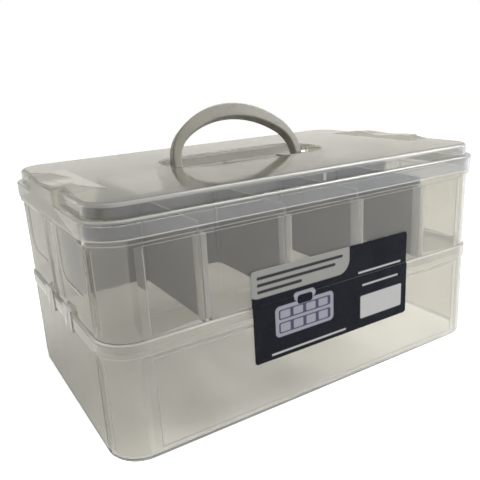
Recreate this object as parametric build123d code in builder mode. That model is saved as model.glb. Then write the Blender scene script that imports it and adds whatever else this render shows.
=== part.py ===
"""Clear two-tier organizer case with a lid, a grey carry handle and grey dividers.

Frame: millimetres, +Z up, +X along the length, the label side faces -Y,
origin at the middle of the base.
"""
import math
import os

from build123d import *

os.makedirs("parts", exist_ok=True)

# Overall size, over the lid's skirt.
case_length = 287.0
case_width = 177.0
corner_radius = 22.0
wall = 1.8

# Levels above the table.
base_floor_top = 2.0
band_bottom = 63.0
band_top = 71.0
foot_bottom = 65.5
tray_floor_top = 71.5
tray_floor_bottom = 69.7
flange_bottom = 123.5
skirt_bottom = 126.6
lip_top = 133.4
divider_top = 127.4
skirt_top = 136.6
lid_top = 144.5

# Insets of each wall's outer face from the skirt's outer face.
base_inset = 1.6
lower_wall_inset = 1.8
band_inset = 0.9
band_thickness = 2.3
foot_inset = 3.6
upper_wall_inset = 2.5
lip_inset = 2.3
flange_inset = 0.6
dome_inset = 3.7

# Edge roundings.
base_edge_radius = 3.4
base_inner_radius = 2.2
band_edge_radius = 0.7
flange_edge_radius = 0.6
dome_edge_radius = 2.4
shelf_edge_radius = 1.1
skirt_lip_radius = 0.5

# Raised middle panels on the long walls.
panel_half_length = 117.3
panel_ramp = 4.1
panel_proud = 0.9
panel_root = 0.6
upper_panel_bottom = 71.8
upper_panel_top = 121.5
lower_panel_bottom = 7.0
lower_panel_top = 61.0

# Divider slots: a pair of ribs on each wall.
column_count = 5
slot_gap = 2.4
slot_rib = 1.5
slot_depth = 5.5
slot_root = 1.3
slot_rib_top = 121.0
divider_thickness = 1.8
divider_play = 0.3
wall_play = 3.0
divider_edge_radius = 0.5
guide_rib = 1.3
guide_depth = 2.6

# Moulded snap features on the short ends.
end_panel_inner = 13.0
end_panel_outer = 61.0
end_panel_height = 33.4
end_panel_depth = 0.7
end_panel_radius = 11.0
end_rib_width = 3.0
end_rib_proud = 0.9
end_rib_offset = 9.5
end_rib_bottom = 76.5
snap_pad_offset = 20.0
snap_pad_width = 18.0
snap_pad_bottom = 59.0
snap_pad_top = 75.0
snap_pad_outer_inset = 0.3
snap_pad_inner_inset = 1.8
snap_pad_radius = 4.0

# Hoods on the lid's ends: a clip block, and a soft double hump that fades into the lid's top.
hood_half_width = 28.0
hood_depth = 9.0
hood_bottom = 127.8
hood_ear_top = 146.4
hood_dip_top = 145.5
hood_ear_y = 24.0
hood_fade_y = 45.0
hood_fade_sink = 0.5
hood_crest_start = 4.4
hood_crest_length = 5.0
hood_ramp_length = 17.0
hood_skirt_sink = 2.0
clip_sink = 0.15
clip_bevel_sink = 0.5

# Moulding mark and small sunk half disc in the middle of the lid's front.
mark_width = 2.2
mark_proud = 0.5
mark_bottom = 137.2
mark_top = 141.6
tab_radius = 2.6
tab_top = 135.2
tab_depth = 0.5

# Handle well, pivot lugs and handle.
well_end_gap = 3.9
well_width = 60.0
well_middle_y = 4.0
well_radius = 27.5
well_floor_top = 134.8
well_mouth_radius = 1.2
pivot_y = 8.0
pivot_z = 138.4
lug_gap = 0.5
lug_thickness = 4.0
lug_half_width = 4.2
lug_top_margin = 4.2
pin_radius = 2.2
pin_bore_radius = 2.5
pin_end_gap = 0.4
handle_half_span = 53.2
handle_leg_width = 6.2
handle_rise = 40.8
handle_crown = 10.4
handle_depth = 8.0
handle_drop = 2.8
handle_eye_radius = 3.2
handle_edge_radius = 1.3
handle_side_radius = 33.0
handle_inner_side_radius = 22.0
handle_lean_degrees = 24.0

# Sticker, in two halves that part at the joint.
label_thickness = 0.35
label_centre_x = 6.3
label_half_length = 62.0
label_corner_radius = 2.0
label_upper_bottom = 71.9
label_upper_top = 93.3
label_lower_bottom = 35.5
label_lower_top = 70.9
label_bridge_drop = 4.0

half_length = case_length / 2
half_width = case_width / 2

# The lugs stand outside the handle's legs, and the well runs past the lugs.
lug_inner = handle_half_span + lug_gap
well_length = 2 * (lug_inner + lug_thickness + well_end_gap)


def outline(inset):
    """The case's rounded plan outline, drawn inward by an inset."""
    return RectangleRounded(
        case_length - 2 * inset, case_width - 2 * inset, corner_radius - inset
    )


def tapered(bottom, bottom_inset, top, top_inset, mode=Mode.ADD):
    """A drafted block between two levels."""
    rise = top - bottom
    draft = math.degrees(math.atan2(top_inset - bottom_inset, rise))
    with BuildSketch(Plane.XY.offset(bottom)) as plan:
        outline(bottom_inset)
    extrude(plan.sketch, amount=rise, taper=draft, mode=mode)


def block(bottom, top, inset, mode=Mode.ADD):
    """An upright block between two levels."""
    with BuildSketch(Plane.XY.offset(bottom)) as plan:
        outline(inset)
    extrude(plan.sketch, amount=top - bottom, mode=mode)


def inset_at(level, low, low_inset, high, high_inset):
    """A drafted wall's inset at a level."""
    return low_inset + (high_inset - low_inset) * (level - low) / (high - low)


def upper_inset(level):
    return inset_at(level, band_top, upper_wall_inset, lip_top, lip_inset)


def lower_inset(level):
    return inset_at(level, 0.0, base_inset, band_bottom, lower_wall_inset)


def wall_panel(side, bottom, top, inset):
    """A raised panel with ramped ends that follows a long wall's draft."""
    root_half_length = panel_half_length + panel_ramp * (panel_proud + panel_root) / panel_proud
    plans = []
    for level in (bottom, top):
        face = half_width - inset(level)
        with BuildSketch(Plane.XY.offset(level)) as plan:
            with BuildLine():
                Polyline(
                    (-panel_half_length, side * (face + panel_proud)),
                    (panel_half_length, side * (face + panel_proud)),
                    (root_half_length, side * (face - panel_root)),
                    (-root_half_length, side * (face - panel_root)),
                    close=True,
                )
            make_face()
        plans.append(plan.sketch)
    loft(plans, ruled=True)


end_panel_bottom = flange_bottom - end_panel_height

# Columns of the upper tray, from the inside of one end wall to the other.
cell_half_length = half_length - upper_wall_inset - wall
column_pitch = 2 * cell_half_length / column_count
divider_xs = [-cell_half_length + column_pitch * (i + 1) for i in range(column_count - 1)]
slot_half = slot_gap / 2
rib_middle = slot_half + slot_rib / 2
rib_sides = (-rib_middle, rib_middle)
wall_face_y = half_width - upper_wall_inset - wall
wall_face_x = half_length - upper_wall_inset - wall

# Lower tray.
with BuildPart() as lower_cavity:
    tapered(base_floor_top, base_inset + wall, band_bottom + wall, lower_wall_inset + wall)
    fillet(lower_cavity.edges().group_by(Axis.Z)[0], base_inner_radius)

with BuildPart() as lower_tray:
    tapered(0.0, base_inset, band_bottom, lower_wall_inset)
    fillet(lower_tray.edges().group_by(Axis.Z)[0], base_edge_radius)
    with BuildPart(mode=Mode.PRIVATE) as band:
        block(band_bottom, band_top, band_inset)
        fillet(band.edges().group_by(Axis.Z)[0], band_edge_radius)
        fillet(band.edges().group_by(Axis.Z)[-1], band_edge_radius)
    add(band.part)
    for side in (-1, 1):
        wall_panel(side, lower_panel_bottom, lower_panel_top, lower_inset)
        for across in (-snap_pad_offset, snap_pad_offset):
            with BuildSketch(Plane.YZ.offset(side * (half_length - snap_pad_outer_inset))):
                with Locations((across, (snap_pad_bottom + snap_pad_top) / 2)):
                    RectangleRounded(
                        snap_pad_width, snap_pad_top - snap_pad_bottom, snap_pad_radius
                    )
            extrude(amount=-side * (snap_pad_inner_inset - snap_pad_outer_inset))
            with BuildSketch(Plane.YZ.offset(side * (half_length - snap_pad_inner_inset))):
                with Locations((across, (snap_pad_bottom + band_top) / 2)):
                    Rectangle(
                        snap_pad_width - 2 * snap_pad_radius,
                        band_top - snap_pad_bottom - 2 * panel_proud,
                    )
            extrude(amount=-side * (lower_wall_inset + panel_root - snap_pad_inner_inset))
    add(lower_cavity.part, mode=Mode.SUBTRACT)
    block(band_bottom + wall, band_top, band_inset + band_thickness, Mode.SUBTRACT)
lower_tray.part.label = "lower_tray"
export_step(lower_tray.part, "parts/lower_tray.step")

# Upper tray.
with BuildPart() as upper_tray:
    tapered(band_top, upper_wall_inset, lip_top, lip_inset)
    block(foot_bottom, band_top, foot_inset)
    with BuildPart(mode=Mode.PRIVATE) as flange:
        block(flange_bottom, skirt_bottom, flange_inset)
        fillet(flange.edges().group_by(Axis.Z)[0], flange_edge_radius)
        fillet(flange.edges().group_by(Axis.Z)[-1], flange_edge_radius)
    add(flange.part)
    for side in (-1, 1):
        wall_panel(side, upper_panel_bottom, upper_panel_top, upper_inset)
    # Sunk panels beside the middle of each end wall, open at the top.
    with BuildPart(mode=Mode.PRIVATE) as end_sinks:
        for across in (-1, 1):
            with BuildSketch(Plane.YZ.offset(-half_length)):
                with BuildLine():
                    Polyline(
                        (across * end_panel_inner, flange_bottom),
                        (across * end_panel_inner, end_panel_bottom),
                        (across * end_panel_outer, end_panel_bottom),
                        (across * end_panel_outer, flange_bottom),
                        close=True,
                    )
                make_face()
            extrude(amount=case_length)
        fillet(
            end_sinks.edges().filter_by(Axis.X).group_by(Axis.Z)[0], end_panel_radius
        )
        tapered(
            band_top, upper_wall_inset + end_panel_depth,
            lip_top, lip_inset + end_panel_depth, Mode.SUBTRACT,
        )
    add(end_sinks.part, mode=Mode.SUBTRACT)
    # Upright ribs on each side of the middle of the end walls.
    with BuildPart(mode=Mode.PRIVATE) as end_ribs:
        for across in (-end_rib_offset, end_rib_offset):
            with BuildSketch(Plane.YZ.offset(-half_length)):
                with Locations((across, (end_rib_bottom + flange_bottom) / 2)):
                    Rectangle(end_rib_width, flange_bottom - end_rib_bottom)
            extrude(amount=case_length)
        tapered(
            band_top, upper_wall_inset - end_rib_proud,
            lip_top, lip_inset - end_rib_proud, Mode.INTERSECT,
        )
    add(end_ribs.part)
    tapered(tray_floor_top, upper_wall_inset + wall, lip_top, lip_inset + wall, Mode.SUBTRACT)
    block(foot_bottom, tray_floor_bottom, foot_inset + wall, Mode.SUBTRACT)
    # Slot ribs for the cross dividers on the long walls.
    rib_foot = (band_top + tray_floor_top) / 2
    rib_height = slot_rib_top - rib_foot
    rib_level = (slot_rib_top + rib_foot) / 2
    rib_reach = slot_depth + slot_root
    for side in (-1, 1):
        with Locations(
            *[
                (x + offset, side * (wall_face_y + slot_root - rib_reach / 2), rib_level)
                for x in divider_xs
                for offset in rib_sides
            ]
        ):
            Box(slot_rib, rib_reach, rib_height)
        with Locations(
            *[
                (side * (wall_face_x + slot_root - rib_reach / 2), offset, rib_level)
                for offset in rib_sides
            ]
        ):
            Box(rib_reach, slot_rib, rib_height)
upper_tray.part.label = "upper_tray"
export_step(upper_tray.part, "parts/upper_tray.step")


def hood_profile(reach, bottom, drop):
    """The hood's end view within a reach each side: two soft humps with a dip between them."""
    foot = lid_top - hood_fade_sink - drop
    crest = hood_ear_top - drop
    with BuildLine() as rim:
        Spline(
            (-hood_fade_y, foot), (-hood_ear_y, crest), (0.0, hood_dip_top - drop),
            (hood_ear_y, crest), (hood_fade_y, foot),
        )
        Polyline(
            (hood_fade_y, foot), (hood_fade_y, bottom),
            (-hood_fade_y, bottom), (-hood_fade_y, foot),
        )
    make_face(rim.edges())
    with Locations((0.0, bottom)):
        Rectangle(2 * reach, 2 * hood_ear_top, mode=Mode.INTERSECT)


def hump(side, drop):
    """A hump behind a clip block, ramped down to the lid's top; drop lowers it for the hollow."""
    outer = half_length - dome_inset
    crest_outer = outer - hood_crest_start
    crest_inner = crest_outer - hood_crest_length
    ramp_end = crest_inner - hood_ramp_length
    bottom = lid_top - wall / 2 - drop
    foot = lid_top - hood_fade_sink - drop
    crest = hood_ear_top - drop
    edge = (outer, lid_top - hood_skirt_sink) if drop == 0 else (crest_outer, bottom)
    with BuildPart(mode=Mode.PRIVATE) as body:
        with BuildSketch(Plane.YZ.offset(side * ramp_end)):
            hood_profile(hood_fade_y, bottom, drop)
        extrude(amount=side * (outer - ramp_end))
        with BuildSketch(Plane.XZ.offset(-hood_fade_y)):
            with BuildLine():
                Polyline(
                    (side * ramp_end, foot), (side * crest_inner, crest),
                    (side * crest_outer, crest), (side * edge[0], edge[1]),
                    (side * edge[0], bottom - wall), (side * ramp_end, bottom - wall),
                    close=True,
                )
            make_face()
        extrude(amount=2 * hood_fade_y, mode=Mode.INTERSECT)
    return body.part


def clip(side):
    """A clip block that closes the shelf in the middle of an end, bevelled along its top edge."""
    inner = half_length - hood_depth
    top = hood_ear_top + wall
    bevel_bottom = lid_top - clip_bevel_sink
    with BuildPart(mode=Mode.PRIVATE) as body:
        with BuildSketch(Plane.YZ.offset(side * inner)):
            hood_profile(hood_half_width, hood_bottom, clip_sink)
        extrude(amount=side * hood_depth)
        with BuildSketch(Plane.XZ.offset(-hood_fade_y)):
            with BuildLine():
                Polyline(
                    (side * inner, hood_bottom - wall), (side * half_length, hood_bottom - wall),
                    (side * half_length, bevel_bottom),
                    (side * (half_length - top + bevel_bottom), top), (side * inner, top),
                    close=True,
                )
            make_face()
        extrude(amount=2 * hood_fade_y, mode=Mode.INTERSECT)
    return body.part


# Lid.
with BuildPart() as lid:
    with BuildPart(mode=Mode.PRIVATE) as skirt:
        block(skirt_bottom, skirt_top, 0.0)
        fillet(skirt.edges().group_by(Axis.Z)[-1], shelf_edge_radius)
        fillet(skirt.edges().group_by(Axis.Z)[0], skirt_lip_radius)
    with BuildPart(mode=Mode.PRIVATE) as dome:
        block(skirt_top - wall, lid_top, dome_inset)
        fillet(dome.edges().group_by(Axis.Z)[-1], dome_edge_radius)
    add(skirt.part)
    add(dome.part)
    for side in (-1, 1):
        add(clip(side))
        add(hump(side, 0.0))
    # Moulding mark and small sunk half disc in the middle of the front.
    with Locations((0.0, -(half_width - dome_inset), (mark_bottom + mark_top) / 2)):
        Box(mark_width, 2 * mark_proud, mark_top - mark_bottom)
    with BuildSketch(Plane.XZ.offset(half_width)):
        with Locations((0.0, tab_top)):
            Circle(tab_radius)
            with Locations((0.0, tab_radius / 2)):
                Rectangle(2 * tab_radius, tab_radius, mode=Mode.SUBTRACT)
    extrude(amount=-tab_depth, mode=Mode.SUBTRACT)
    # Hollow underside.
    block(skirt_bottom, skirt_top - wall, wall, Mode.SUBTRACT)
    block(skirt_top - 2 * wall, lid_top - wall, dome_inset + wall, Mode.SUBTRACT)
    for side in (-1, 1):
        with BuildSketch(Plane.YZ.offset(side * (half_length - wall))):
            hood_profile(hood_half_width - wall, skirt_top - 2 * wall, wall + clip_sink)
        extrude(amount=-side * (hood_depth - wall), mode=Mode.SUBTRACT)
        add(hump(side, wall), mode=Mode.SUBTRACT)
    # Handle well.
    with BuildSketch(Plane.XY.offset(well_floor_top - wall)):
        with Locations((0.0, well_middle_y)):
            RectangleRounded(
                well_length + 2 * wall, well_width + 2 * wall, well_radius + wall
            )
    extrude(amount=lid_top - well_floor_top)
    with BuildSketch(Plane.XY.offset(well_floor_top)):
        with Locations((0.0, well_middle_y)):
            RectangleRounded(well_length, well_width, well_radius)
    extrude(amount=lid_top - well_floor_top, mode=Mode.SUBTRACT)
    # Pivot lugs.
    lug_top = pivot_z + lug_top_margin
    lug_height = lug_top - well_floor_top + wall / 2
    for side in (-1, 1):
        with Locations((
            side * (lug_inner + lug_thickness / 2), pivot_y, lug_top - lug_height / 2
        )):
            Box(lug_thickness, 2 * lug_half_width, lug_height)
        with BuildSketch(Plane.YZ.offset(side * (lug_inner - pin_end_gap))):
            with Locations((pivot_y, pivot_z)):
                Circle(pin_bore_radius)
        extrude(amount=side * (lug_thickness + 2 * pin_end_gap), mode=Mode.SUBTRACT)
lid.part.label = "lid"
export_step(lid.part, "parts/lid.step")



def arch(half_span, rise, side_radius):
    """A filled three-centre arch standing on a level line: side arcs run into a crown arc."""
    side_middle = half_span - side_radius
    crown_radius = (side_middle**2 + rise**2 - side_radius**2) / (2 * (rise - side_radius))
    crown_drop = crown_radius - rise
    meet_angle = math.atan2(crown_drop, side_middle)
    meet = (
        side_middle + side_radius * math.cos(meet_angle),
        side_radius * math.sin(meet_angle),
    )
    with BuildLine() as rim:
        left = (-half_span, 0.0)
        right = (half_span, 0.0)
        RadiusArc(right, meet, -side_radius)
        ThreePointArc(meet, (0.0, rise), (-meet[0], meet[1]))
        RadiusArc((-meet[0], meet[1]), left, -side_radius)
        Line(left, right)
    return make_face(rim.edges(), mode=Mode.PRIVATE)


# Carry handle: drawn upright about its pivot, then leaned back.
with BuildPart() as handle_upright:
    with BuildSketch(Plane.XZ.offset(-handle_depth / 2)):
        with Locations((0.0, handle_drop)):
            add(arch(handle_half_span, handle_rise, handle_side_radius))
            add(
                arch(
                    handle_half_span - handle_leg_width, handle_rise - handle_crown,
                    handle_inner_side_radius,
                ),
                mode=Mode.SUBTRACT,
            )
        leg_middle = handle_half_span - handle_leg_width / 2
        with Locations((-leg_middle, handle_drop / 2), (leg_middle, handle_drop / 2)):
            Rectangle(handle_leg_width, handle_drop)
    extrude(amount=handle_depth)
    long_edges = handle_upright.faces().filter_by(Axis.Y).edges()
    fillet(
        long_edges.filter_by_position(Axis.Z, handle_drop / 2, handle_rise * 2),
        handle_edge_radius,
    )
    for side in (-1, 1):
        with BuildSketch(Plane.YZ.offset(side * (handle_half_span - handle_leg_width))):
            Circle(handle_eye_radius)
            with Locations((0.0, handle_drop / 2)):
                Rectangle(2 * handle_eye_radius, handle_drop)
        extrude(amount=side * handle_leg_width)
        with BuildSketch(Plane.YZ.offset(side * (handle_half_span - handle_leg_width / 2))):
            Circle(pin_radius)
        pin_end = lug_inner + lug_thickness - pin_end_gap
        extrude(amount=side * (pin_end - handle_half_span + handle_leg_width / 2))

with BuildPart() as handle:
    with Locations(Location((0.0, pivot_y, pivot_z), (-handle_lean_degrees, 0.0, 0.0))):
        add(handle_upright.part)
handle.part.label = "handle"
export_step(handle.part, "parts/handle.step")

# Lengthwise divider with guide ribs for the cross dividers.
divider_height = divider_top - tray_floor_top
divider_level = (divider_top + tray_floor_top) / 2
centre_half_length = wall_face_x - wall_play
guide_middle = slot_half + guide_rib / 2
with BuildPart() as centre_divider:
    with Locations((0.0, 0.0, divider_level)):
        Box(2 * centre_half_length, divider_thickness, divider_height)
    fillet(centre_divider.edges().filter_by(Axis.X).group_by(Axis.Z)[-1], divider_edge_radius)
    with Locations(
        *[
            (x + offset, 0.0, (divider_top - divider_thickness + tray_floor_top) / 2)
            for x in divider_xs
            for offset in (-guide_middle, guide_middle)
        ]
    ):
        Box(guide_rib, divider_thickness + 2 * guide_depth, divider_height - divider_thickness)
centre_divider.part.label = "centre_divider"
export_step(centre_divider.part, "parts/centre_divider.step")

# Cross dividers: a plate between the centre divider and a long wall.
cross_inner = divider_thickness / 2 + divider_play
cross_outer = wall_face_y - wall_play
cross_length = cross_outer - cross_inner
cross_middle = (cross_outer + cross_inner) / 2


def cross_plate(x, side):
    """One cross divider standing on the tray's floor."""
    with Locations((x, side * cross_middle, divider_level)):
        Box(divider_thickness, cross_length, divider_height)


with BuildPart() as cross_divider_front_1:
    cross_plate(divider_xs[0], -1)
    fillet(cross_divider_front_1.edges().filter_by(Axis.Y).group_by(Axis.Z)[-1], divider_edge_radius)
cross_divider_front_1.part.label = "cross_divider_front_1"
export_step(cross_divider_front_1.part, "parts/cross_divider_front_1.step")

with BuildPart() as cross_divider_front_2:
    cross_plate(divider_xs[1], -1)
    fillet(cross_divider_front_2.edges().filter_by(Axis.Y).group_by(Axis.Z)[-1], divider_edge_radius)
cross_divider_front_2.part.label = "cross_divider_front_2"
export_step(cross_divider_front_2.part, "parts/cross_divider_front_2.step")

with BuildPart() as cross_divider_front_3:
    cross_plate(divider_xs[2], -1)
    fillet(cross_divider_front_3.edges().filter_by(Axis.Y).group_by(Axis.Z)[-1], divider_edge_radius)
cross_divider_front_3.part.label = "cross_divider_front_3"
export_step(cross_divider_front_3.part, "parts/cross_divider_front_3.step")

with BuildPart() as cross_divider_front_4:
    cross_plate(divider_xs[3], -1)
    fillet(cross_divider_front_4.edges().filter_by(Axis.Y).group_by(Axis.Z)[-1], divider_edge_radius)
cross_divider_front_4.part.label = "cross_divider_front_4"
export_step(cross_divider_front_4.part, "parts/cross_divider_front_4.step")

with BuildPart() as cross_divider_rear_1:
    cross_plate(divider_xs[0], 1)
    fillet(cross_divider_rear_1.edges().filter_by(Axis.Y).group_by(Axis.Z)[-1], divider_edge_radius)
cross_divider_rear_1.part.label = "cross_divider_rear_1"
export_step(cross_divider_rear_1.part, "parts/cross_divider_rear_1.step")

with BuildPart() as cross_divider_rear_2:
    cross_plate(divider_xs[1], 1)
    fillet(cross_divider_rear_2.edges().filter_by(Axis.Y).group_by(Axis.Z)[-1], divider_edge_radius)
cross_divider_rear_2.part.label = "cross_divider_rear_2"
export_step(cross_divider_rear_2.part, "parts/cross_divider_rear_2.step")

with BuildPart() as cross_divider_rear_3:
    cross_plate(divider_xs[2], 1)
    fillet(cross_divider_rear_3.edges().filter_by(Axis.Y).group_by(Axis.Z)[-1], divider_edge_radius)
cross_divider_rear_3.part.label = "cross_divider_rear_3"
export_step(cross_divider_rear_3.part, "parts/cross_divider_rear_3.step")

with BuildPart() as cross_divider_rear_4:
    cross_plate(divider_xs[3], 1)
    fillet(cross_divider_rear_4.edges().filter_by(Axis.Y).group_by(Axis.Z)[-1], divider_edge_radius)
cross_divider_rear_4.part.label = "cross_divider_rear_4"
export_step(cross_divider_rear_4.part, "parts/cross_divider_rear_4.step")

# Sticker halves.
upper_face_low = half_width - upper_inset(label_upper_bottom) + panel_proud
upper_face_high = half_width - upper_inset(label_upper_top) + panel_proud
with BuildPart() as label_upper:
    with BuildSketch(Plane.YZ.offset(label_centre_x - label_half_length)):
        with BuildLine():
            Polyline(
                (-upper_face_low, label_upper_bottom),
                (-upper_face_high, label_upper_top),
                (-upper_face_high - label_thickness, label_upper_top),
                (-upper_face_low - label_thickness, label_upper_bottom),
                close=True,
            )
        make_face()
    extrude(amount=2 * label_half_length)
    fillet(
        label_upper.edges().filter_by(Axis.Y, tolerance=5).group_by(Axis.Z)[-1],
        label_corner_radius,
    )
label_upper.part.label = "label_upper"
export_step(label_upper.part, "parts/label_upper.step")

band_face = half_width - band_inset
lower_bridge = band_bottom - label_bridge_drop
lower_face_high = half_width - lower_inset(lower_bridge) + panel_proud
lower_face_low = half_width - lower_inset(label_lower_bottom) + panel_proud
with BuildPart() as label_lower:
    with BuildSketch(Plane.YZ.offset(label_centre_x - label_half_length)):
        with BuildLine():
            Polyline(
                (-band_face, label_lower_top),
                (-band_face, band_bottom),
                (-lower_face_high, lower_bridge),
                (-lower_face_low, label_lower_bottom),
                (-lower_face_low - label_thickness, label_lower_bottom),
                (-lower_face_high - label_thickness, lower_bridge),
                (-band_face - label_thickness, band_bottom),
                (-band_face - label_thickness, label_lower_top),
                close=True,
            )
        make_face()
    extrude(amount=2 * label_half_length)
    fillet(
        label_lower.edges().filter_by(Axis.Y, tolerance=5).group_by(Axis.Z)[0],
        label_corner_radius,
    )
label_lower.part.label = "label_lower"
export_step(label_lower.part, "parts/label_lower.step")
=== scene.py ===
"""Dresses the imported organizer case: clear moulded plastic, grey handle and dividers, sticker."""
import math

import bpy
from mathutils import Matrix, Vector
from mathutils.bvhtree import BVHTree


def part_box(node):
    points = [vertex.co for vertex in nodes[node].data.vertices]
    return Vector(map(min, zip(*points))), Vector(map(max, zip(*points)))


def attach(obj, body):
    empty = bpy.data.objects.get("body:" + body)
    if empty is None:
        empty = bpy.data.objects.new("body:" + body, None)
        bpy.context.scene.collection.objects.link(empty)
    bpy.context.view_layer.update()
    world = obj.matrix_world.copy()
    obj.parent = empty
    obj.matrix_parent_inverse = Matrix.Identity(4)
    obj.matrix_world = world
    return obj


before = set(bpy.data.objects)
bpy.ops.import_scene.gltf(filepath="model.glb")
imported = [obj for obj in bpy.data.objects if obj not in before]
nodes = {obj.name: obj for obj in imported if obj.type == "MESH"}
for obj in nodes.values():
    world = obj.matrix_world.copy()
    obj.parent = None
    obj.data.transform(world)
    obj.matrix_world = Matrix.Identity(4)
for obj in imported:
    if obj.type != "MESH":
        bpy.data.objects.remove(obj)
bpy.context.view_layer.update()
scene = bpy.context.scene
scene.view_settings.view_transform = "Standard"

MM = 0.001
WHITE = (1.0, 1.0, 1.0)

# Clear walls lie one behind another, so paths need room to pass through them all.
scene.cycles.max_bounces = 28
scene.cycles.transmission_bounces = 28
scene.cycles.glossy_bounces = 6
scene.cycles.diffuse_bounces = 4


# Node helpers.
def new_material(name):
    material = bpy.data.materials.new(name)
    material.use_nodes = True
    tree = material.node_tree
    return material, tree, tree.nodes["Principled BSDF"]


def node(tree, kind, **settings):
    """A new node; settings that start with in_ are values of its inputs."""
    made = tree.nodes.new(kind)
    for key, value in settings.items():
        if key.startswith("in_"):
            made.inputs[key[3:].replace("_", " ")].default_value = value
        else:
            setattr(made, key, value)
    return made


def feed(tree, socket, value):
    """Links a socket to another one, or sets it to a plain value."""
    if isinstance(value, bpy.types.NodeSocket):
        tree.links.new(value, socket)
    elif socket.type == "RGBA":
        socket.default_value = (*value, 1.0)
    else:
        socket.default_value = value


def coords(tree):
    return node(tree, "ShaderNodeTexCoord").outputs["Object"]


def noise(tree, vector, scale, detail=3.0):
    made = node(tree, "ShaderNodeTexNoise", in_Scale=scale, in_Detail=detail)
    tree.links.new(vector, made.inputs["Vector"])
    return made.outputs["Fac"]


def ramp(tree, value, low, high, start=0.35, end=0.65):
    made = node(
        tree, "ShaderNodeMapRange",
        in_From_Min=start, in_From_Max=end, in_To_Min=low, in_To_Max=high,
    )
    tree.links.new(value, made.inputs["Value"])
    return made.outputs["Result"]


def mix_colour(tree, factor, first, second):
    made = node(tree, "ShaderNodeMix", data_type="RGBA")
    for index, value in ((0, factor), (6, first), (7, second)):
        feed(tree, made.inputs[index], value)
    return made.outputs[2]


def bump(tree, height, strength, distance):
    made = node(tree, "ShaderNodeBump", in_Strength=strength, in_Distance=distance)
    tree.links.new(height, made.inputs["Height"])
    return made.outputs["Normal"]


def math_node(tree, operation, first, second=0.0):
    made = node(tree, "ShaderNodeMath", operation=operation)
    for socket, value in zip(made.inputs, (first, second)):
        feed(tree, socket, value)
    return made.outputs[0]


PRINT_EDGE = 0.0003


def rounded(tree, x, z, box, radius):
    """A soft-edged mask, 1 inside a rounded rectangle (left, low, right, high) in millimetres."""
    left, low, right, high = (value * MM for value in box)
    radius *= MM
    across = math_node(tree, "ABSOLUTE", math_node(tree, "SUBTRACT", x, (left + right) / 2))
    upward = math_node(tree, "ABSOLUTE", math_node(tree, "SUBTRACT", z, (low + high) / 2))
    across = math_node(tree, "SUBTRACT", across, (right - left) / 2 - radius)
    upward = math_node(tree, "SUBTRACT", upward, (high - low) / 2 - radius)
    inside = math_node(tree, "MINIMUM", math_node(tree, "MAXIMUM", across, upward), 0.0)
    out_x = math_node(tree, "POWER", math_node(tree, "MAXIMUM", across, 0.0), 2.0)
    out_z = math_node(tree, "POWER", math_node(tree, "MAXIMUM", upward, 0.0), 2.0)
    outside = math_node(tree, "SQRT", math_node(tree, "ADD", out_x, out_z))
    distance = math_node(tree, "SUBTRACT", math_node(tree, "ADD", outside, inside), radius)
    return ramp(tree, distance, 1.0, 0.0, -PRINT_EDGE, PRINT_EDGE)


# Clear plastic: faint flow marks, uneven haze and slow waves in the surface.
FLOW_SCALE, HAZE_SCALE, WAVE_SCALE = 18.0, 60.0, 26.0
HAZE_LOW, HAZE_HIGH = 0.7, 1.3
WAVE_STRENGTH, WAVE_DEPTH = 0.12, 0.0006
BLOOM_ROUGHNESS, BLOOM_TINT = 0.5, (0.55, 0.72, 1.0)


def clear_plastic(name, tint, shade, haze, clarity, ior=1.49, bloom=0.0):
    """Clear plastic between two tints; bloom is a bluish sheen seen at a slant."""
    material, tree, shader = new_material(name)
    place = coords(tree)
    flow = ramp(tree, noise(tree, place, FLOW_SCALE, 2.0), 0.0, 1.0)
    cloud = ramp(tree, noise(tree, place, HAZE_SCALE), haze * HAZE_LOW, haze * HAZE_HIGH)
    waves = bump(tree, noise(tree, place, WAVE_SCALE, 1.0), WAVE_STRENGTH, WAVE_DEPTH)
    for socket, value in (
        ("Base Color", mix_colour(tree, flow, shade, tint)),
        ("Roughness", cloud),
        ("IOR", ior),
        ("Transmission Weight", clarity),
        ("Sheen Weight", bloom),
        ("Sheen Roughness", BLOOM_ROUGHNESS),
        ("Sheen Tint", BLOOM_TINT),
        ("Normal", waves),
    ):
        feed(tree, shader.inputs[socket], value)
    return material


# Grey plastic: slow changes of shade and gloss over a fine moulded grain.
SHADE_SCALE, GLOSS_SCALE = 30.0, 90.0
GLOSS_DOWN, GLOSS_UP = 0.05, 0.07
GRAIN_DEPTH = 0.00012


def satin_plastic(name, colour, dark, rough, grain, relief):
    material, tree, shader = new_material(name)
    place = coords(tree)
    shades = ramp(tree, noise(tree, place, SHADE_SCALE), 0.0, 1.0)
    gloss = ramp(tree, noise(tree, place, GLOSS_SCALE), rough - GLOSS_DOWN, rough + GLOSS_UP)
    relief_normal = bump(tree, noise(tree, place, grain, 2.0), relief, GRAIN_DEPTH)
    feed(tree, shader.inputs["Base Color"], mix_colour(tree, shades, dark, colour))
    feed(tree, shader.inputs["Roughness"], gloss)
    feed(tree, shader.inputs["Normal"], relief_normal)
    return material


# Sticker inks, and the scales of its uneven ink, gloss and surface.
NAVY, NAVY_WORN = (0.010, 0.012, 0.020), (0.016, 0.018, 0.026)
PALE, PAPER, BAR_INK = (0.40, 0.40, 0.39), (0.62, 0.62, 0.62), (0.05, 0.05, 0.055)
LILAC, SLATE = (0.42, 0.42, 0.50), (0.10, 0.10, 0.16)
INK_SCALE, FILM_GLOSS_SCALE, FILM_WAVE_SCALE = 40.0, 70.0, 30.0
FILM_ROUGHNESS = (0.20, 0.32)
FILM_SPECULAR = 0.06
FILM_WAVE_STRENGTH, FILM_WAVE_DEPTH = 0.05, 0.0004


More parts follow.
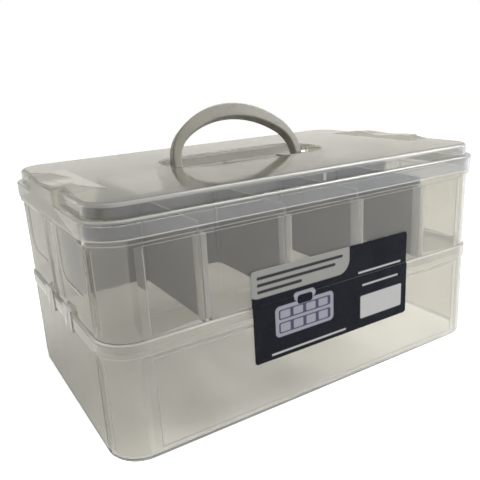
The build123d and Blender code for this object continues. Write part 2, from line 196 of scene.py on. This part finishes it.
def sticker_prints():
    """The sticker's plain shapes: a box (left, low, right, high) and radius in mm, and an ink."""
    prints = [
        ((-60.0, 76.4, 17.5, 110.0), 9.0, PALE),
        ((-40.6, 48.6, 3.6, 68.2), 3.0, LILAC),
        ((-38.2, 50.6, 1.2, 57.6), 1.4, SLATE),
        ((-38.2, 59.4, 1.2, 65.8), 1.4, SLATE),
        ((-26.6, 68.4, -10.4, 73.6), 2.4, LILAC),
        ((-24.2, 66.0, -12.8, 71.6), 1.8, NAVY),
        ((26.4, 42.0, 63.6, 57.8), 1.2, PAPER),
    ]
    cell_width, line_height, bar_height, bar_left = 7.2, 1.3, 1.9, -52.0
    for low, high in ((51.4, 56.8), (60.2, 65.0)):
        for left in (-37.0, -27.4, -17.8, -8.2):
            prints.append(((left, low, left + cell_width, high), 0.8, LILAC))
    for left, right, low in ((25.0, 63.0, 73.2), (28.0, 60.0, 64.4), (-44.0, 14.0, 38.0)):
        prints.append(((left, low, right, low + line_height), 0.6, PAPER))
    for right, low in ((12.0, 87.6), (6.0, 83.4), (-20.0, 79.2)):
        prints.append(((bar_left, low, right, low + bar_height), 0.9, BAR_INK))
    return prints


def printed_film(name):
    """Sticker film: dark field, pale header with bars, a compartment pictogram and a blank box."""
    material, tree, shader = new_material(name)
    place = coords(tree)
    parts = node(tree, "ShaderNodeSeparateXYZ")
    tree.links.new(place, parts.inputs[0])
    x, z = parts.outputs["X"], parts.outputs["Z"]
    ink = mix_colour(tree, ramp(tree, noise(tree, place, INK_SCALE), 0.0, 1.0), NAVY, NAVY_WORN)
    for box, radius, colour in sticker_prints():
        ink = mix_colour(tree, rounded(tree, x, z, box, radius), ink, colour)
    gloss = ramp(tree, noise(tree, place, FILM_GLOSS_SCALE), *FILM_ROUGHNESS)
    waves = noise(tree, place, FILM_WAVE_SCALE, 1.0)
    feed(tree, shader.inputs["Base Color"], ink)
    feed(tree, shader.inputs["Roughness"], gloss)
    feed(tree, shader.inputs["Specular IOR Level"], FILM_SPECULAR)
    feed(tree, shader.inputs["Normal"], bump(tree, waves, FILM_WAVE_STRENGTH, FILM_WAVE_DEPTH))
    return material


# Name, light tint, dark tint, haze, clarity and, where it isn't 1.49, the refractive index.
clear = clear_plastic(
    "clear_plastic", (0.76, 0.748, 0.71), (0.72, 0.708, 0.67), 0.04, 0.95)
clear_lid = clear_plastic(
    "clear_lid", (0.74, 0.73, 0.675), (0.70, 0.69, 0.635), 0.06, 0.95, 1.38)
# Lighter, milkier plastic on rims, fillets, steps and rib tips: partly the haze of thick moulded
# edges, partly painted highlight lines.
milky_highlight_edge = clear_plastic(
    "milky_highlight_edge", (0.86, 0.855, 0.83), (0.80, 0.795, 0.77), 0.10, 0.55)
# Darker, warmer plastic on the end walls: painted shade; its lower refractive index also softens
# their outlines.
shaded_end = clear_plastic(
    "shaded_end", (0.69, 0.672, 0.60), (0.65, 0.632, 0.56), 0.12, 0.89, 1.2)
# Lighter, milkier plastic: a painted reflection on the rounded corners and panel ramps; also used
# on the tray joint band and the lid's end skirt.
pale_reflection = clear_plastic(
    "pale_reflection", (0.76, 0.745, 0.70), (0.72, 0.705, 0.66), 0.10, 0.80)
soft_hood = clear_plastic(
    "soft_hood", (0.70, 0.688, 0.635), (0.66, 0.648, 0.595), 0.12, 0.74, 1.16)
lid_side = clear_plastic(
    "lid_side", (0.77, 0.765, 0.745), (0.73, 0.725, 0.705), 0.03, 0.94, bloom=0.34)
# Name, light shade, dark shade, roughness, grain scale and relief.
handle_grey = satin_plastic(
    "handle_grey", (0.325, 0.309, 0.266), (0.298, 0.283, 0.244), 0.28, 2600.0, 0.06)
divider_grey = satin_plastic(
    "divider_grey", (0.17, 0.17, 0.172), (0.15, 0.15, 0.152), 0.5, 1400.0, 0.03)
sticker = printed_film("sticker")


def dress(name, material):
    mesh = nodes[name].data
    mesh.materials.clear()
    mesh.materials.append(material)


# Material slots of the clear mouldings.
WALL, MILKY_HIGHLIGHT, SHADED_END_WALL, PALE_REFLECTION, LID_SIDE, HOOD = range(6)
# Where their zones lie, in millimetres from the middle and up from the base.
OUTER_X, OUTER_Y = 135.0, 81.0
DIVIDER_PITCH = 55.68
POST_XS = (DIVIDER_PITCH / 2, DIVIDER_PITCH * 3 / 2)
RIB_REACH = 3.0
SIDE_RIB_Y, END_RIB_X, RIB_Z = (77.0, 84.6), (132.0, 139.6), (76.0, 122.0)
STEP_Z, JOINT_Z = (3.0, 127.5), (64.5, 75.2)
LID_BOTTOM = 126.0
HOOD_X, HOOD_Y = 112.0, 46.0
END_X, END_Y, END_Z = 134.0, 72.0, (3.0, 123.0)
MARK_X, MARK_Y, MARK_Z = 1.4, 84.0, (137.0, 142.0)
RAMP_Y = 78.0
# Which way their faces look, as parts of a unit normal.
LEVEL_NZ, UPRIGHT_NZ, ROUND_NZ = 0.5, 0.15, (0.15, 0.97)
END_NX, LID_END_NX = 0.9, 0.95
RAMP_NX, RAMP_NZ = (0.1, 0.5), 0.12
CORNER_N = 0.2


def within(value, span):
    return span[0] < value < span[1]


def plastic_zone(face):
    """The material slot of a moulding's face, from its place and the way it looks."""
    x, y, z = (abs(value) / MM for value in face.center)
    nx, ny, nz = (abs(value) for value in face.normal)
    outer = y > OUTER_Y or x > OUTER_X
    side_rib = within(y, SIDE_RIB_Y) and min(abs(x - post) for post in POST_XS) < RIB_REACH
    end_rib = within(x, END_RIB_X) and y < RIB_REACH
    # Milky faces carry painted highlight lines: rib tips, outer rims, end-wall steps, the notch and
    # the rounded fillets.
    if within(z, RIB_Z) and (side_rib or end_rib):
        return MILKY_HIGHLIGHT if max(nx, ny, nz) == (nx if side_rib else ny) else WALL
    if outer and nz > LEVEL_NZ and within(z, STEP_Z):
        return MILKY_HIGHLIGHT
    if outer and within(z, JOINT_Z):
        return PALE_REFLECTION
    if x > HOOD_X and y < HOOD_Y and z > LID_BOTTOM:
        return HOOD
    # End walls take the darker plastic as painted shade; their step faces take the milky highlight
    # lines.
    if x > END_X and y < END_Y and within(z, END_Z):
        return SHADED_END_WALL if nx > END_NX else MILKY_HIGHLIGHT
    if x < MARK_X and y > MARK_Y and within(z, MARK_Z):
        return MILKY_HIGHLIGHT
    if face.use_smooth and within(nz, ROUND_NZ):
        return MILKY_HIGHLIGHT
    if z > LID_BOTTOM:
        if outer and nz < UPRIGHT_NZ:
            return PALE_REFLECTION if nx > LID_END_NX else LID_SIDE
        return WALL
    # Panel ramps and rounded corners take the lighter plastic as a painted reflection.
    panel_ramp = y > RAMP_Y and nz < RAMP_NZ and within(nx, RAMP_NX)
    round_corner = face.use_smooth and min(nx, ny) > CORNER_N
    return PALE_REFLECTION if panel_ramp or round_corner else WALL


for name in ("lower_tray", "upper_tray", "lid"):
    dress(name, clear_lid if name == "lid" else clear)
    for extra in (milky_highlight_edge, shaded_end, pale_reflection, lid_side, soft_hood):
        nodes[name].data.materials.append(extra)
    for face in nodes[name].data.polygons:
        face.material_index = plastic_zone(face)
    nodes[name].visible_shadow = False
dress("handle", handle_grey)
for name in nodes:
    if "divider" in name:
        dress(name, divider_grey)
    if name.startswith("label"):
        dress(name, sticker)

# Raised beads of milky plastic along the panel edges and corners of the trays, laid on the walls'
# own surface: painted highlight lines.
CORNER_X, CORNER_Y, PANEL_HALF = 121.5, 66.5, 117.3
OUTSIDE = 120.0
UPRIGHT_STEPS, LEVEL_STEPS = 6, 8
BEAD_SINK = 0.4


def bead_runs(low, high, turns, levels):
    """Rays, each a start in mm and a way, that feel for the wall along every bead."""
    heights = [low + (high - low) * step / UPRIGHT_STEPS for step in range(UPRIGHT_STEPS + 1)]
    runs = []
    for side in (-1.0, 1.0):
        inward = (0.0, -side, 0.0)
        for end in (-1.0, 1.0):
            runs.append([((end * PANEL_HALF, side * OUTSIDE, z), inward) for z in heights])
            for turn in turns:
                angle = math.radians(turn)
                out_x, out_y = end * math.cos(angle), side * math.sin(angle)
                start = (end * CORNER_X + out_x * OUTSIDE, side * CORNER_Y + out_y * OUTSIDE)
                runs.append([((*start, z), (-out_x, -out_y, 0.0)) for z in heights])
        for z in levels:
            runs.append([
                ((PANEL_HALF * step / LEVEL_STEPS, side * OUTSIDE, z), inward)
                for step in range(-LEVEL_STEPS, LEVEL_STEPS + 1)
            ])
    return runs


def wall_highlight_beads(name, body, part, low, high, turns, levels, radius):
    """Beads from low to high at the panel's ends and corner turns, and along the levels; they paint
    highlight lines.
    """
    mesh = nodes[part].data
    wall = BVHTree.FromPolygons(
        [vertex.co for vertex in mesh.vertices], [face.vertices for face in mesh.polygons])
    curve = bpy.data.curves.new(name, "CURVE")
    curve.dimensions = "3D"
    curve.bevel_depth = radius * MM
    curve.bevel_resolution = 1
    curve.use_fill_caps = True
    for run in bead_runs(low, high, turns, levels):
        hits = [wall.ray_cast(Vector(start) * MM, Vector(way)) for start, way in run]
        spline = curve.splines.new("POLY")
        spline.points.add(len(hits) - 1)
        for point, (place, normal, _, _) in zip(spline.points, hits):
            point.co = (*(place - normal * BEAD_SINK * radius * MM), 1.0)
    curve.materials.append(milky_highlight_edge)
    made = bpy.data.objects.new(name, curve)
    scene.collection.objects.link(made)
    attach(made, body)


wall_highlight_beads("upper_highlight_beads", "upper", "upper_tray", 74.0, 120.8, (11.0, 24.0), (), 0.32)
wall_highlight_beads("lower_highlight_beads", "lower", "lower_tray", 7.4, 60.4, (10.0, 24.0), (7.4, 60.4), 0.30)

# The sticker's film crosses the joint between the trays: its lower hem hangs from the upper label.
# Each row is the film's front and back y and its level, in millimetres.
HEM_ROWS = (
    (-87.34, -87.24, 71.93), (-87.66, -87.52, 71.6),
    (-87.92, -87.8, 71.25), (-88.03, -87.9, 70.97),
)
HEM_COLUMNS = 24
ring = 2 * len(HEM_ROWS)
low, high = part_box("label_upper")
points, faces = [], []
for step in range(HEM_COLUMNS + 1):
    across = low[0] + (high[0] - low[0]) * step / HEM_COLUMNS
    points += [(across, front * MM, level * MM) for front, _, level in HEM_ROWS]
    points += [(across, back * MM, level * MM) for _, back, level in reversed(HEM_ROWS)]
for step in range(HEM_COLUMNS):
    first, second = step * ring, (step + 1) * ring
    for k in range(ring):
        after = (k + 1) % ring
        faces.append((first + k, first + after, second + after, second + k))
last = HEM_COLUMNS * ring
faces += [tuple(range(ring)), tuple(reversed(range(last, last + ring)))]
hem_mesh = bpy.data.meshes.new("label_hem")
hem_mesh.from_pydata(points, [], faces)
hem_mesh.materials.append(sticker)
hem = bpy.data.objects.new("label_hem", hem_mesh)
scene.collection.objects.link(hem)
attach(hem, "upper")


# Floor, world and lamps.
FLOOR_SIZE, FLOOR_DROP = 6.0, 0.0003
FLOOR_COLOUR, FLOOR_GLOW = (0.92, 0.92, 0.92), 0.72
FLOOR_ROUGHNESS, FLOOR_SPECULAR = 0.9, 0.1
FLOOR_SHARE, WORLD_SHARE = 0.45, 0.84
WORLD_LIGHT, WORLD_WARM = 0.30, (1.0, 0.985, 0.93)
# The backdrop's grey overhead, and the heights of a ray's direction between which it comes in.
OVERHEAD, OVERHEAD_START, OVERHEAD_END = 0.42, 0.105, 0.24


def backdrop_rays(tree, share):
    """1 for camera rays, and a share of it for rays that come through gloss or plastic."""
    path = node(tree, "ShaderNodeLightPath").outputs
    through = math_node(tree, "MAXIMUM", path["Is Glossy Ray"], path["Is Transmission Ray"])
    part = math_node(tree, "MULTIPLY", through, share)
    return math_node(tree, "MAXIMUM", path["Is Camera Ray"], part)


bpy.ops.mesh.primitive_plane_add(size=FLOOR_SIZE, location=(0.0, 0.0, -FLOOR_DROP))
floor = bpy.context.object
floor.name = "floor"
floor_material, tree, shader = new_material("floor")
glow = math_node(tree, "MULTIPLY", backdrop_rays(tree, FLOOR_SHARE), FLOOR_GLOW)
for socket, value in (
    ("Base Color", FLOOR_COLOUR),
    ("Roughness", FLOOR_ROUGHNESS),
    ("Specular IOR Level", FLOOR_SPECULAR),
    ("Emission Color", WHITE),
    ("Emission Strength", glow),
):
    feed(tree, shader.inputs[socket], value)
floor.data.materials.append(floor_material)

world = bpy.data.worlds.new("studio")
scene.world = world
world.use_nodes = True
tree = world.node_tree
background = tree.nodes["Background"]
# The backdrop is white to the camera, and reaches the plastic as a softer grey overhead.
parts = node(tree, "ShaderNodeSeparateXYZ")
tree.links.new(node(tree, "ShaderNodeTexCoord").outputs["Generated"], parts.inputs[0])
camera_ray = node(tree, "ShaderNodeLightPath").outputs["Is Camera Ray"]
overhead = ramp(tree, parts.outputs["Z"], 1.0, OVERHEAD, OVERHEAD_START, OVERHEAD_END)
level = node(tree, "ShaderNodeMix", data_type="FLOAT")
feed(tree, level.inputs[0], backdrop_rays(tree, WORLD_SHARE))
feed(tree, level.inputs[2], WORLD_LIGHT)
feed(tree, level.inputs[3], math_node(tree, "MAXIMUM", camera_ray, overhead))
feed(tree, background.inputs["Strength"], level.outputs[0])
# Plain white for the camera, a little warm for the light that falls on the plastic.
feed(tree, background.inputs["Color"], mix_colour(tree, camera_ray, WORLD_WARM, WHITE))


def lamp(name, place, aim, size, watts):
    data = bpy.data.lights.new(name, "AREA")
    data.shape = "DISK"
    data.size = size
    data.energy = watts
    made = bpy.data.objects.new(name, data)
    scene.collection.objects.link(made)
    made.location = place
    made.rotation_euler = (Vector(aim) - Vector(place)).to_track_quat("-Z", "Y").to_euler()


lamp("key", (0.85, -0.45, 0.85), (0.05, 0.0, 0.06), 0.5, 6.6)
lamp("top", (0.5, -0.12, 0.95), (0.0, 0.0, 0.1), 0.5, 4.0)
lamp("fill", (-0.75, -1.3, 0.9), (0.0, 0.0, 0.08), 1.2, 2.4)

# Camera, fitted to the photograph's edges.
camera_place = Vector((-210.5, -335.8, 201.0)) * MM
azimuth, elevation, roll = (math.radians(degrees) for degrees in (30.96, 16.77, -3.15))
focal_pixels, frame_pixels = 559.6, 480.0
sensor_width, nearest = 36.0, 0.01
forward = Vector((
    math.sin(azimuth) * math.cos(elevation),
    math.cos(azimuth) * math.cos(elevation),
    -math.sin(elevation),
))
level_right = Vector((math.cos(azimuth), -math.sin(azimuth), 0.0))
level_up = level_right.cross(forward)
right = math.cos(roll) * level_right + math.sin(roll) * level_up
up = math.cos(roll) * level_up - math.sin(roll) * level_right
camera_data = bpy.data.cameras.new("camera")
camera_data.sensor_width = sensor_width
camera_data.lens = focal_pixels / frame_pixels * sensor_width
camera_data.clip_start = nearest
camera = bpy.data.objects.new("camera", camera_data)
scene.collection.objects.link(camera)
turn = Matrix((right, up, -forward)).transposed().to_4x4()
camera.matrix_world = Matrix.Translation(camera_place) @ turn
scene.camera = camera
